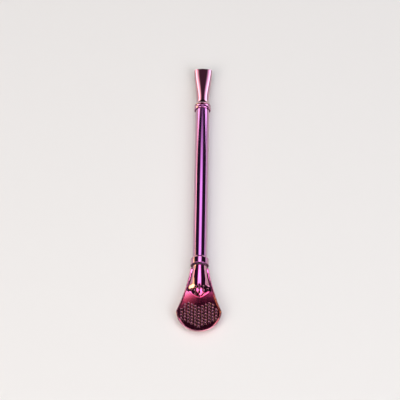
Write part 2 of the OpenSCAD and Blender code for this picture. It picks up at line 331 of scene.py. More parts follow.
# Coats: two hues that drift into each other, a paler one for a slanting view, and the range of roughness.
coatHues = {
    "violetCoat": {"first": (0.46, 0.155, 0.50), "second": (0.52, 0.18, 0.47),
                   "slant": (0.54, 0.32, 0.40), "rough": (0.05, 0.1)},
    "mouthCoat": {"first": (0.49, 0.20, 0.34), "second": (0.52, 0.22, 0.33),
                  "slant": (0.60, 0.40, 0.44), "rough": (0.05, 0.1)},
    # the violet coat tinted pinker for the bead and collar: painted warm light
    "paintedWarmLightCoat": {"first": (0.50, 0.165, 0.42), "second": (0.54, 0.19, 0.41),
                 "slant": (0.56, 0.33, 0.40), "rough": (0.05, 0.1)},
    "magentaCoat": {"first": (0.53, 0.125, 0.37), "second": (0.56, 0.06, 0.18),
                    "slant": (0.64, 0.38, 0.38), "rough": (0.03, 0.06)},
    # a paler coat for the rim's top and the hole lips: painted highlight
    "paintedEdgeHighlight": {"first": (0.52, 0.21, 0.33), "second": (0.52, 0.19, 0.29),
                 "slant": (0.58, 0.34, 0.42), "rough": (0.04, 0.08)},
    "turnedSteel": {"first": (0.62, 0.60, 0.63), "second": (0.56, 0.54, 0.58),
                    "slant": (0.66, 0.65, 0.66), "rough": (0.22, 0.36)},
    # a dark rough coat for faces towards the spoon and the hollow's inside: painted shade
    "roughPaintedShade": {"first": (0.13, 0.04, 0.08), "second": (0.10, 0.035, 0.07),
                 "slant": (0.16, 0.07, 0.1), "rough": (0.45, 0.62)}}
coatFinish = {"blend": 0.5, "paleFrom": 0.18, "paleTo": 0.62, "bump": 0.03, "bumpDepth": 0.00002}


def coatedMetal(name, first, second, slant, rough):
    mat, tree, shader, place = newMaterial(name)
    hue = groupNode(tree, tintAndPaintedWarmthGroup, {"Vector": place, "First": (*first, 1), "Second": (*second, 1)})
    marks = groupNode(tree, polishGroup, {"Vector": place, "Low": rough[0], "High": rough[1]})
    weight = tree.nodes.new("ShaderNodeLayerWeight")
    weight.inputs["Blend"].default_value = coatFinish["blend"]
    pale = rangeNode(tree, weight.outputs["Facing"], coatFinish["paleFrom"], coatFinish["paleTo"], 0, 1)
    feed(tree, shader.inputs["Base Color"], mixNode(tree, pale, hue.outputs["Color"], (*slant, 1)))
    feed(tree, shader.inputs["Roughness"], marks.outputs["Roughness"])
    shader.inputs["Metallic"].default_value = 1
    bumpInto(tree, shader, marks.outputs["Height"], coatFinish["bump"], coatFinish["bumpDepth"])
    return mat


# Silicone: nearly black and finely grained.
silicone = {"dark": (0.018, 0.018, 0.021), "light": (0.034, 0.034, 0.038), "grain": 900, "detail": 3,
            "rough": (0.45, 0.6), "bump": 0.15, "bumpDepth": 0.00004}


def siliconeMaterial(s):
    mat, tree, shader, place = newMaterial("sealSilicone")
    grain = noiseNode(tree, place, s["grain"], s["detail"])
    feed(tree, shader.inputs["Base Color"], mixNode(tree, grain, (*s["dark"], 1), (*s["light"], 1)))
    feed(tree, shader.inputs["Roughness"], rangeNode(tree, grain, *noiseSpread, *s["rough"]))
    bumpInto(tree, shader, grain, s["bump"], s["bumpDepth"])
    return mat


coats = {name: coatedMetal(name, **hues) for name, hues in coatHues.items()}
sealSilicone = siliconeMaterial(silicone)
print("materials made:", len(coats) + 1)

# Mouthpiece: a round spigot and skirt that flare into a flattened, rolled lip.
mouth = {"lipW": 10.65, "lipT": 5.4, "waistD": 7.6, "skirtD": 9.6, "skirtLen": 4.3, "wall": 0.75,
         "spigotR": 3.46, "boreR": 3.01, "edge": 0.3, "chamfer": 0.15, "chamferLen": 0.2, "hollow": 2.6,
         "wideLine": 0.3, "flatLine": 0.35, "square": 0.7, "flareSteps": 40, "skirtSteps": 22,
         "edgeSteps": 6, "lipSteps": 12}


# A ring of two half widths. The flatter it is, the squarer it gets.
def oval(y, a, b):
    q = 2 / (2 + mouth["square"] * (1 - min(b / a, 1)))

    def place(t):
        c, s = cos(2 * pi * t), sin(2 * pi * t)
        return at(a * abs(c) ** q * (1 if c > 0 else -1), y, b * abs(s) ** q * (1 if s > 0 else -1))
    return place


def circle(y, r):
    return oval(y, r, r)


# Half widths at a share of the way up the flare, which grows partly in a line and partly in a curve.
def flareSize(u, waistR, halfW, halfT):
    wide, flat = (line * u + (1 - line) * smoothStep(u) for line in (mouth["wideLine"], mouth["flatLine"]))
    return waistR + (halfW - waistR) * wide, waistR + (halfT - waistR) * flat


def buildMouthpiece(m):
    low, end = reach("mouthpiece")
    seat = reach("stem_tube")[1]
    lip, edge, bore, spigot = m["wall"] / 2, m["edge"], m["boreR"], m["spigotR"]
    halfW, halfT, waistR, skirtR = m["lipW"] / 2, m["lipT"] / 2, m["waistD"] / 2, m["skirtD"] / 2
    waistY, steps = seat + m["skirtLen"], m["flareSteps"]
    span = end - lip - waistY
    rings = [circle(low, bore), circle(low, spigot - m["chamfer"]), circle(low + m["chamferLen"], spigot),
             circle(seat, spigot), circle(seat, skirtR - edge)]
    turns = quarter(m["edgeSteps"])
    rings += [circle(seat + edge - edge * cos(a), skirtR - edge + edge * sin(a)) for a in turns]
    for k in range(1, m["skirtSteps"] + 1):
        u = k / m["skirtSteps"]
        r = waistR + (skirtR - waistR) * (1 - u) ** m["hollow"]
        rings.append(circle(seat + edge + (m["skirtLen"] - edge) * u, r))
    outward = [k / steps for k in range(1, steps + 1)]
    rings += [oval(waistY + span * u, *flareSize(u, waistR, halfW, halfT)) for u in outward]
    for k in range(1, m["lipSteps"] + 1):
        a = pi * k / m["lipSteps"]
        off = lip - lip * cos(a)
        rings.append(oval(end - lip + lip * sin(a), halfW - off, halfT - off))
    inward = [k / steps for k in range(steps - 1, -1, -1)]
    rings += [oval(waistY + span * u, *flareSize(u, bore, halfW - 2 * lip, halfT - 2 * lip)) for u in inward]
    rings.append(circle(low, bore))
    bm = newShape()
    ringWall(bm, roundSteps, rings)
    return makeObject(bm, "mouthpieceFlare")


dress(buildMouthpiece(mouth), coats["mouthCoat"], "mouthpiece", "stem")

# Bead ring: half round, with a small flat foot on each side.
bead = {"innerR": 4.0, "outerR": 4.92, "foot": 0.23, "edge": 0.03, "fullness": 0.75, "steps": 20}


def buildBead(b):
    low, high = reach("upper_ring")
    middle, half = (low + high) / 2, (high - low) / 2
    bulge, footR = b["outerR"] - b["innerR"] - b["foot"], b["innerR"] + b["foot"]
    turns = [pi * k / b["steps"] for k in range(b["steps"] + 1)]
    arc = [(footR + bulge * sin(a) ** b["fullness"], middle - (half - b["edge"]) * cos(a)) for a in turns]
    bm = newShape()
    lathe(bm, [(b["innerR"], low), (footR, low)] + arc + [(footR, high), (b["innerR"], high)])
    return makeObject(bm, "beadRing", limit=50)


def facesSpoon(face):
    return face.normal.y < -0.9


beadRing = buildBead(bead)
# the bead takes the pinker copy of the violet coat: painted warm light
dress(beadRing, coats["paintedWarmLightCoat"], "upper_ring", "stem")
# the bead's face towards the spoon takes the dark coat: a painted shadow line under the bead
coatFaces(beadRing, coats["roughPaintedShade"], facesSpoon)

# Tube: drawn and polished, with its ends just broken.
tube = {"innerR": 3.5, "outerR": 4.0, "edge": 0.08, "lengths": 26, "around": 192}


def buildTube(t):
    low, high = reach("stem_tube")
    inner, outer = t["innerR"], t["outerR"]
    places = [low + (high - low) * k / t["lengths"] for k in range(1, t["lengths"])]
    bm = newShape()
    lathe(bm, [(inner, low), (outer, low)] + [(outer, y) for y in places]
          + [(outer, high), (inner, high)] + [(inner, y) for y in places[::-1]], t["around"])
    roundEdges(bm, t["edge"])
    return makeObject(bm, "drawnTube")


dress(buildTube(tube), coats["violetCoat"], "stem_tube", "stem")

# Collar: a straight band with a rounded foot and a chamfered top.
collar = {"straight": 3.7, "chamfer": 0.9, "innerR": 4.0, "outerR": 5.1, "topR": 4.275, "edge": 0.16}


def buildCollar(c):
    low = reach("lower_collar")[0]
    top = low + c["straight"]
    bm = newShape()
    lathe(bm, [(c["innerR"], low), (c["outerR"], low), (c["outerR"], top),
               (c["topR"], top + c["chamfer"]), (c["innerR"], top + c["chamfer"])])
    roundEdges(bm, c["edge"], segments=4, limit=30)
    return makeObject(bm, "footCollar", limit=45)


footCollar = buildCollar(collar)
# the collar takes the pinker copy of the violet coat: painted warm light
dress(footCollar, coats["paintedWarmLightCoat"], "lower_collar", "stem")
# the collar's face towards the spoon takes the dark coat: painted shade under the collar
coatFaces(footCollar, coats["roughPaintedShade"], facesSpoon)

# Bush: a plain sleeve with a chamfered mouth and a groove round its bore for each turn of the thread.
bush = {"outerR": 3.5, "innerR": 3.0, "rootR": 3.22, "pitch": 1.0, "flank": 0.38, "root": 0.12, "lead": 0.5,
        "bare": 0.8, "chamfer": 0.2, "play": 0.02, "around": 128}


def buildBush(b):
    low, high = reach("threaded_bush")
    inner, outer, flank = b["innerR"], b["outerR"] - b["play"], b["flank"]
    turns = []
    for k in range(int((high - low - b["bare"]) / b["pitch"])):
        y = high - b["lead"] - k * b["pitch"]
        turns += [(inner, y), (b["rootR"], y - flank), (b["rootR"], y - flank - b["root"]),
                  (inner, y - 2 * flank - b["root"])]
    bm = newShape()
    lathe(bm, [(inner + b["chamfer"], low), (outer, low), (outer, high), (inner, high)] + turns
          + [(inner, low + b["chamfer"])], b["around"])
    return makeObject(bm, "threadBush", limit=25)


dress(buildBush(bush), coats["turnedSteel"], "threaded_bush", "stem")

# Seal: a flat soft washer with rounded corners.
seal = {"innerR": 3.0, "outerR": 3.7, "edge": 0.12, "around": 128}


def buildSeal(s):
    low, high = reach("seal_ring")
    bm = newShape()
    lathe(bm, [(s["innerR"], low), (s["outerR"], low), (s["outerR"], high), (s["innerR"], high)], s["around"])
    roundEdges(bm, s["edge"])
    return makeObject(bm, "softSeal", limit=50)


dress(buildSeal(seal), sealSilicone, "seal_ring", "seal")

# Nipple: spigot, flange and core, with a helical ridge for its thread.
nipple = {"boreR": 2.2, "spigotR": 3.2, "flangeR": 3.85, "coreR": 2.52, "crestR": 2.92, "edge": 0.06,
          "easeR": 0.2, "easeLen": 0.3, "pitch": 1.0, "turns": 4.3, "perTurn": 72, "lead": 0.75, "sink": 0.08,
          "ridgeFoot": 0.42, "ridgeTop": 0.07, "tipBare": 0.15, "flangeBare": 0.2, "runout": 0.9}


def buildNipple(n):
    low, tip = reach("threaded_nipple")
    neck, flange = reach("back_shell")[1], reach("seal_ring")[0]
    core, pitch = n["coreR"], n["pitch"]
    bm = newShape()
    lathe(bm, [(n["boreR"], low), (n["spigotR"], low), (n["spigotR"], neck), (n["flangeR"], neck),
               (n["flangeR"], flange), (core + n["easeR"], flange), (core, flange + n["easeLen"]),
               (core, tip - n["easeLen"]), (core - n["easeR"], tip), (n["boreR"], tip)])
    roundEdges(bm, n["edge"], segments=2, limit=60)
    foot, top = n["ridgeFoot"], n["ridgeTop"]
    shape = [(core - n["sink"], -foot), (n["crestR"], -top), (n["crestR"], top), (core - n["sink"], foot)]
    ridge = [bm.verts.new(at(r, flange + n["lead"] + y * pitch, 0)) for r, y in shape]
    edges = [bm.edges.new(pair) for pair in zip(ridge, ridge[1:] + ridge[:1])]
    before = set(bm.verts)
    made = bmesh.ops.spin(bm, geom=ridge + edges, cent=(0, 0, axisZ), axis=(0, -1, 0),
                          dvec=(0, pitch * mm / n["perTurn"], 0), angle=2 * pi * n["turns"],
                          steps=int(n["turns"] * n["perTurn"]))["geom_last"]
    bmesh.ops.contextual_create(bm, geom=edges)
    bmesh.ops.contextual_create(bm, geom=[g for g in made if isinstance(g, bmesh.types.BMEdge)])
    # the ridge runs out into the core at both ends
    for v in [v for v in bm.verts if v not in before] + ridge:
        y, r = (v.co.y - tipY) / mm, hypot(v.co.x, v.co.z - axisZ) / mm
        room = core + min(tip - n["tipBare"] - y, y - flange - n["flangeBare"]) * n["runout"]
        if r > room:
            v.co.x *= room / r
            v.co.z = axisZ + (v.co.z - axisZ) * room / r
    return makeObject(bm, "threadNipple", limit=30)


dress(buildNipple(nipple), coats["magentaCoat"], "threaded_nipple", "filter")

# Spoon: a round end, an eased corner, a hollow flank and a rounded shoulder on each side. The stops say
# which share of the way round each of them ends at. Heights are above the stem's centre line.
spoon = {"headLen": reach("back_shell")[1], "bowlR": 12.6, "bowlEnd": -3, "cornerR": 3.0, "flankR": 105,
         "shoulderW": 10.5, "shoulderR": 1.3, "stops": (0.19, 0.22, 0.42, 0.47), "around": 400,
         "neckR": 3.85, "depth": 5.1, "deepTo": 0.62, "land": 0.42, "sheet": 0.6, "rimH": 0.6, "ledge": 0.6,
         "innerEdge": 0.2, "outerEdge": 0.26, "edgeSteps": 8, "gap": 0.08, "boreLen": 4.3, "seatLen": 3,
         "seatFlare": 0.25, "past": 1, "paintedHighlightFrom": 0.36, "paintedShadeTo": -0.61, "backSteps": 24, "bowlSteps": 16,
         "landSteps": 4}


def outlineArcs(s):
    endC = Vector((0, s["bowlR"]))
    bowlEnd = radians(s["bowlEnd"])
    corner = endC + s["bowlR"] * Vector((cos(bowlEnd), sin(bowlEnd)))
    turnY = s["headLen"] - s["shoulderR"]
    shoulder = Vector((s["shoulderW"] / 2, turnY))
    chord = shoulder - corner
    out = Vector((chord.y, -chord.x)).normalized()
    flankC = (corner + shoulder) / 2 + out * sqrt(s["flankR"] ** 2 - chord.length_squared / 4)
    line = flankC - endC
    r0, r1, d = s["bowlR"] - s["cornerR"], s["flankR"] + s["cornerR"], line.length
    along = (d * d + r0 * r0 - r1 * r1) / (2 * d)
    side = line.normalized()
    cornerC = endC + side * along + Vector((side.y, -side.x)) * sqrt(r0 * r0 - along * along)
    turnX = flankC.x - sqrt((s["flankR"] + s["shoulderR"]) ** 2 - (turnY - flankC.y) ** 2)
    turnC = Vector((turnX, turnY))
    a = atan2(cornerC.y - endC.y, cornerC.x - endC.x)
    b = atan2(flankC.y - cornerC.y, flankC.x - cornerC.x)
    c = atan2(flankC.y - turnC.y, flankC.x - turnC.x)
    return [{"centre": endC, "radius": s["bowlR"], "sense": -1, "start": -pi / 2, "end": a},
            {"centre": cornerC, "radius": s["cornerR"], "sense": -1, "start": a, "end": b},
            {"centre": flankC, "radius": s["flankR"], "sense": 1, "start": b + pi, "end": c + pi},
            {"centre": turnC, "radius": s["shoulderR"], "sense": -1, "start": c, "end": pi / 2}]


arcs = outlineArcs(spoon)
bowlArc, cornerArc, flankArc, shoulderArc = arcs
turnC = shoulderArc["centre"]


# A point on the outline drawn in by an inset, at a share of the way round from the tip.
def outlinePoint(t, inset):
    side = 1
    if t > 0.5:
        t, side = 1 - t, -1
    start = 0
    for stop, arc in zip(spoon["stops"], arcs):
        if t <= stop + 1e-9:
            a = arc["start"] + (arc["end"] - arc["start"]) * (t - start) / (stop - start)
            r = arc["radius"] + arc["sense"] * inset
            return side * (arc["centre"].x + r * cos(a)), arc["centre"].y + r * sin(a)
        start = stop
    return side * turnC.x * (0.5 - t) / (0.5 - start), spoon["headLen"] - inset


def depthAt(y):
    low, high = spoon["headLen"] * spoon["deepTo"], spoon["headLen"] - spoon["shoulderR"]
    return spoon["depth"] + (spoon["neckR"] - spoon["depth"]) * smoothStep((y - low) / (high - low))


def level(inset, z):
    return lambda t: at(*outlinePoint(t, inset), z)


def backRing(inset, draw, top, share, skin):
    def place(t):
        x, y = outlinePoint(t, inset)
        mid = max(y, spoon["bowlR"])
        return at(x * draw, mid + (y - mid) * draw, top - (depthAt(mid) - skin + top) * share)
    return place


def backRings(inset, top, skin, steps):
    land, last = spoon["land"], spoon["landSteps"]
    rings = [backRing(inset, land + (1 - land) * cos(a), top, sin(a), skin) for a in quarter(steps)]
    return rings + [backRing(inset, land * k / last, top, 1, skin) for k in range(last - 1, -1, -1)]


# Takes a solid away from a piece.
def cutAway(obj, bm):
    bmesh.ops.recalc_face_normals(bm, faces=bm.faces)
    cutter = linkMesh(bm, "cutter")
    cut = obj.modifiers.new("cut", "BOOLEAN")
    cut.operation, cut.solver, cut.object = "DIFFERENCE", "EXACT", cutter
    done = bpy.data.meshes.new_from_object(obj.evaluated_get(bpy.context.evaluated_depsgraph_get()))
    obj.modifiers.clear()
    obj.data = done
    bpy.data.objects.remove(cutter)


def roundBar(r0, r1, y0, y1):
    bm = bmesh.new()
    turn = Matrix.Rotation(-pi / 2, 4, "X")
    place = Matrix.Translation(at(0, (y0 + y1) / 2, 0))
    bmesh.ops.create_cone(bm, cap_ends=True, segments=roundSteps, radius1=r0 * mm, radius2=r1 * mm,
                          depth=(y1 - y0) * mm, matrix=place @ turn)
    return bm


# Back shell: rounded proud rim, ledge for the plate, and a back that curves down to a flat land.
def buildBack(s):
    sheet, top, steps = s["sheet"], s["rimH"], s["edgeSteps"]
    ledge, inside, outside = sheet + s["ledge"], s["innerEdge"], s["outerEdge"]
    rings = backRings(ledge, -sheet, sheet, s["bowlSteps"])[::-1]
    rings += [level(ledge, -sheet), level(sheet, -sheet), level(sheet, top - inside)]
    rings += [level(sheet - inside + inside * cos(a), top - inside + inside * sin(a)) for a in quarter(steps)]
    turns = [0] + quarter(steps)
    rings += [level(outside - outside * sin(a), top - outside + outside * cos(a)) for a in turns]
    rings += [level(0, 0)] + backRings(0, 0, 0, s["backSteps"])
    bm = newShape()
    ringWall(bm, s["around"], rings)
    obj = makeObject(bm, "spoonBack")
    boreR, past = s["neckR"] - sheet, s["headLen"] + s["past"]
    cutAway(obj, roundBar(boreR, boreR, s["headLen"] - s["boreLen"], past))
    seat = roundBar(s["neckR"] + s["seatFlare"], s["neckR"] + s["gap"], s["headLen"] - s["seatLen"], past)
    cutBelow(seat, -sheet)
    cutAway(obj, seat)
    bm = bmesh.new()
    bm.from_mesh(obj.data)
    markEdges(bm)
    bm.to_mesh(obj.data)
    bm.free()
    return obj


# The rim's top takes a paler coat, a painted highlight, and the bowl's inside takes the dark rough coat,
# painted shade in the hollow.
def onRim(face):
    return face.center.z > axisZ + spoon["paintedHighlightFrom"] * mm


def inBowl(face):
    inward = Vector((0, face.center.y, axisZ)) - face.center
    return face.center.z < axisZ + spoon["paintedShadeTo"] * mm and face.normal.dot(inward) > 0


spoonBack = buildBack(spoon)
dress(spoonBack, coats["magentaCoat"], "back_shell", "filter")
coatFaces(spoonBack, coats["paintedEdgeHighlight"], onRim)
coatFaces(spoonBack, coats["roughPaintedShade"], inBowl)

# Front plate: raised border, flat field of staggered holes, and a hood with a pierced toe. The rows are
# holes in each column from the middle out. The toe has the places of its holes across and along.
plateEdge = spoon["sheet"] + spoon["gap"]
plate = {"edge": plateEdge, "end": spoon["headLen"] - plateEdge, "thick": spoon["sheet"],
         "border": 0.12, "step": 0.25, "borderGap": 0.03, "borderFrom": 26, "borderFade": 9,
         "borderShape": ((0, 1 / 3), (0.02, 5 / 6), (0.05, 1), (0.08, 1), (0.11, 0.93), (0.15, 0.72),
                         (0.19, 0.35), (0.22, 0.07)),
         "cell": 0.13, "gridHalf": 9.5, "gridAhead": 1.6, "gridGap": 0.04, "neckFrom": 0.5, "neckGap": 0.08,
         "holeR": 0.525, "lip": 0.25, "toeLip": 0.18, "lipSteps": 4, "holeGap": 0.03, "holeAround": 32,
         "pitch": 1.86, "column": 1.91, "start": 2.9, "rows": (7, 7, 7, 7, 6, 4),
         "toe": ((0, (0.5, 2.1, 4, 6.1)), (2.15, (1.6, 3.3, 5.1)), (4.5, (4.5,))),
         "toeY": 20.6, "toeLen": 5.5, "toeCurve": 2.2, "spread": 0.75, "nose": 1.5, "ease": 0.14,
         "margin": 0.35, "flat": 1.4, "flatShare": 0.4, "neckEase": 0.2, "neckSlope": 0.35, "skin": 0.32}


# How far a place lies inside the spoon's outline.
def insetAt(x, y):
    q = Vector((abs(x), y))
    v = q - cornerArc["centre"]
    if cornerArc["start"] <= atan2(v.y, v.x) <= cornerArc["end"]:
        return cornerArc["radius"] - v.length
    endC = bowlArc["centre"]
    if atan2(y - endC.y, abs(x) - endC.x) < bowlArc["end"]:
        return bowlArc["radius"] - (q - endC).length
    if y > turnC.y:
        return shoulderArc["radius"] - (q - turnC).length if q.x > turnC.x else spoon["headLen"] - y
    return (q - flankArc["centre"]).length - flankArc["radius"]


def flankX(y, inset):
    c = flankArc["centre"]
    return c.x - sqrt((flankArc["radius"] + inset) ** 2 - (y - c.y) ** 2)


# The larger of two heights, with the corner between them eased.
def eased(a, b, k):
    return max(a, b) + max(k - abs(a - b), 0) ** 2 / (4 * k)


# The front's height: a ridge that flattens away from the neck, with straight slopes and a rounded toe.
def frontHeight(x, y, p=plate):
    r, q = spoon["neckR"], abs(x)
    besideNeck = r + (turnC.y + p["neckEase"] - y) * p["neckSlope"]
    foot = max(min(flankX(min(y, turnC.y), p["edge"] + p["margin"]), besideNeck), r + p["neckEase"])
    k = min(p["flat"], (foot * foot - r * r) / r * p["flatShare"])
    a = atan2(k, foot) + acos((r + k) / hypot(foot, k))
    side = (r + k) * cos(a)
    if q < side:
        tent = sqrt((r + k) ** 2 - q * q) - k
    else:
        tent = ((r + k) * sin(a) - k) * (foot - q) / (foot - side)
    u = (y - p["toeY"] - (hypot(x, p["nose"]) - p["nose"]) * p["spread"]) / p["toeLen"]
    rise = p["toeCurve"] * u if u < 0 else 1 - (1 - min(u, 1)) ** p["toeCurve"]
    hood = tent * rise if tent > 0 and rise > 0 else min(tent, r * rise)
    return eased(0, hood, p["ease"])


def frontPoint(x, y):
    return at(x, y, frontHeight(x, y))


def frontNormal(x, y, d=0.05):
    across = frontPoint(x + d, y) - frontPoint(x - d, y)
    return across.cross(frontPoint(x, y + d) - frontPoint(x, y - d)).normalized()


def frontHoles(p):
    last = len(p["rows"]) - 1
    for i in range(-last, last + 1):
        for k in range(p["rows"][abs(i)]):
            yield i * p["column"], p["start"] + (abs(i) / 2 + k) * p["pitch"]
    for x, places in p["toe"]:
        for y in places:
            for side in ((1, -1) if x else (1,)):
                yield side * x, p["toeY"] + y


# Inset of the border's inner edge, which is narrow beside the neck and full round the bowl.
def borderInset(y, p, width):
    full = 1 - smoothStep((y - p["borderFrom"]) / p["borderFade"])
    return p["edge"] + p["borderGap"] * (width > 0) + width * full


def plateBorder(bm, p):
    def ring(width, z):
        return lambda t: at(*outlinePoint(t, borderInset(outlinePoint(t, p["edge"])[1], p, width)), z)
    rings = [ring(width, p["border"] * share) for width, share in p["borderShape"]] + [ring(p["step"], 0)]
    neckStart = spoon["stops"][-1]
    return ringWall(bm, spoon["around"], rings, (neckStart, 1 - neckStart))


# A fine grid laid over the hood: all its faces, and those that go.
def hoodGrid(bm, p):
    half, low = p["gridHalf"], p["toeY"] - p["gridAhead"]
    length = p["end"] - low
    size = Matrix.Diagonal((half * mm, length / 2 * mm, 1, 1))
    place = Matrix.Translation(at(0, (low + p["end"]) / 2, 0)) @ size
    verts = bmesh.ops.create_grid(bm, x_segments=round(2 * half / p["cell"]),
                                  y_segments=round(length / p["cell"]), size=1, matrix=place)["verts"]
    lying, outside = set(), set()
    for v in verts:
        x, y = v.co.x / mm, (v.co.y - tipY) / mm
        z = frontHeight(x, y)
        v.co.z = axisZ + z * mm
        inNeck = y > turnC.y - p["neckFrom"] and abs(x) < turnC.x - p["neckGap"]
        pastBorder = y > turnC.y or insetAt(x, y) < borderInset(y, p, p["step"]) + p["gridGap"]
        if pastBorder and not inNeck:
            outside.add(v)
        elif z == 0:
            lying.add(v)
    faces = list({f for v in verts for f in v.link_faces})
    gone = [f for f in faces if any(v in outside for v in f.verts) or all(v in lying for v in f.verts)]
    return faces, gone


# Removes faces and gives the edges between them and those that stay.
def takeOff(bm, gone):
    lost = set(gone)
    edge = list({e for f in gone for e in f.edges if any(g not in lost for g in e.link_faces)})
    bmesh.ops.delete(bm, geom=gone, context="FACES")
    return edge


# The two loose ends of a chain of edges, from left to right.
def looseEnds(edges):
    count = {}
    for e in edges:
        for v in e.verts:
            count[v] = count.get(v, 0) + 1
    return sorted((v for v in count if count[v] == 1), key=lambda v: v.co.x)


# The part of a step that lies square to a direction.
def squareTo(step, d):
    return step - d * step.dot(d)


# A hole's edge, centre, direction and lip. In the hood the grid is opened and joined to the edge.
def holeEdge(bm, p, faces, x, y):
    c, d = frontPoint(x, y), frontNormal(x, y)
    inToe = y >= p["toeY"]
    lip = p["toeLip" if inToe else "lip"] * mm
    radius = p["holeR"] * mm + lip
    place = Matrix.Translation(c) @ d.to_track_quat("Z", "X").to_matrix().to_4x4()
    verts = bmesh.ops.create_circle(bm, segments=p["holeAround"], radius=radius, matrix=place)["verts"]
    edge = list({e for v in verts for e in v.link_edges})
    if inToe:
        for v in verts:
            v.co.z = axisZ + frontHeight(v.co.x / mm, (v.co.y - tipY) / mm) * mm
        room = radius + p["holeGap"] * mm
        near = [f for f in faces if f.is_valid and (f.verts[0].co - c).length < 2 * radius]
        hit = [f for f in near if any(squareTo(v.co - c, d).length < room for v in f.verts)]
        opening = takeOff(bm, hit)
        bmesh.ops.triangle_fill(bm, use_beauty=True, use_dissolve=False, edges=opening + edge, normal=d)
    return edge, c, d, lip


# The outer skin of the plate, one face thick, with its holes.
def outerSkin(bm, p):
    border = plateBorder(bm, p)
    faces, gone = hoodGrid(bm, p)
    ragged = takeOff(bm, gone)
    faces = [f for f in faces if f.is_valid]
    joins = [bm.edges.new(pair) for pair in zip(looseEnds(border), looseEnds(ragged))]
    field = border + ragged + joins
    holes = []
    for x, y in frontHoles(p):
        holes.append(holeEdge(bm, p, faces, x, y))
        if y < p["toeY"]:
            field += holes[-1][0]
    bmesh.ops.triangle_fill(bm, use_beauty=True, use_dissolve=False, edges=field, normal=(0, 0, 1))
    bmesh.ops.recalc_face_normals(bm, faces=bm.faces)
    if sum(f.normal.z * f.calc_area() for f in bm.faces) < 0:
        bmesh.ops.reverse_faces(bm, faces=bm.faces)
    bm.normal_update()
    return holes


# The sheet's underside, then the rounded walls of the holes and the outer edge.
def thicken(bm, p, holes):
    mark = bm.verts.layers.int["mark"]
    rest = []
    for i, v in enumerate(bm.verts):
        v[mark] = i
        rest.append((v.co.copy(), v.normal.copy()))
    thick, steps = p["thick"] * mm, p["lipSteps"]

    def below(v):
        co, n = rest[v[mark]]
        return co - n * thick
    holeEdges = {e for hole in holes for e in hole[0]}
    outer = [e for e in bm.edges if e.is_boundary and e not in holeEdges]
    for v in onlyVerts(bmesh.ops.duplicate(bm, geom=bm.verts[:] + bm.edges[:] + bm.faces[:])["geom"]):
        v.co = below(v)
    # the hole lips take the second material, the paler coat that paints a highlight round each hole
    for edges, c, d, lip in holes:
        for a in quarter(steps) + [None]:  # the lip's steps, then straight down
            made = bmesh.ops.extrude_edge_only(bm, edges=edges)["geom"]
            edges = openEdges(made)
            for f in (g for g in made if isinstance(g, bmesh.types.BMFace)):
                f.material_index = 1 if a else 0  # lips have the piece's second material
            for v in onlyVerts(made):
                co = rest[v[mark]][0]
                inward = squareTo(c - co, d).normalized()
                v.co = co + inward * (lip * sin(a)) - d * (lip * (1 - cos(a))) if a else below(v)
    for v in onlyVerts(bmesh.ops.extrude_edge_only(bm, edges=outer)["geom"]):
        v.co = below(v)


# The front half of the neck, past the end of the plate.
def addNeck(bm, s, p):
    neck = bmesh.new()
    inner, outer = s["neckR"] - s["sheet"], s["neckR"]
    lathe(neck, [(inner, p["end"]), (outer, p["end"]), (outer, s["headLen"]), (inner, s["headLen"])])
    cutBelow(neck, -s["sheet"])
    part = bpy.data.meshes.new("neck")
    neck.to_mesh(part)
    neck.free()
    bm.from_mesh(part)
    bpy.data.meshes.remove(part)


def buildFront(s, p):
    bm = newShape()
    holes = outerSkin(bm, p)
    thicken(bm, p, holes)
    addNeck(bm, s, p)
    obj = makeObject(bm, "piercedFront", limit=42)
    for face in obj.data.polygons:
        face.use_smooth = abs(face.normal.z) < 0.99999  # level faces stay plain mirrors
    return obj


def underneath(face):
    x, y, z = face.center.x / mm, (face.center.y - tipY) / mm, (face.center.z - axisZ) / mm
    return y < plate["end"] and z < frontHeight(x, y) - plate["skin"]


piercedFront = buildFront(spoon, plate)
dress(piercedFront, coats["magentaCoat"], "front_plate", "filter")
# the second material, for the hole lips, is the paler coat: painted highlight
piercedFront.data.materials.append(coats["paintedEdgeHighlight"])
# the plate's underside takes the dark rough coat: painted shade in the hollow
coatFaces(piercedFront, coats["roughPaintedShade"], underneath)

# Stage: a pale floor in a dim room, in metres.
stage = {"floor": (0.80, 0.79, 0.785), "rough": (0.8, 0.9), "grain": 30, "half": 8, "drop": 0.00004,
         "room": (0.025, 0.025, 0.028)}


def buildFloor(s):
    bm = bmesh.new()
    place = Matrix.Translation((0, 0, -s["drop"]))
    bmesh.ops.create_grid(bm, x_segments=1, y_segments=1, size=s["half"], matrix=place)
    floor = linkMesh(bm, "floor")
    mat, tree, shader, place = newMaterial("paleFloor")
    shader.inputs["Base Color"].default_value = (*s["floor"], 1)
    shader.inputs["Specular IOR Level"].default_value = 0
    grain = noiseNode(tree, place, s["grain"])
    feed(tree, shader.inputs["Roughness"], rangeNode(tree, grain, *noiseSpread, *s["rough"]))
    floor.data.materials.append(mat)


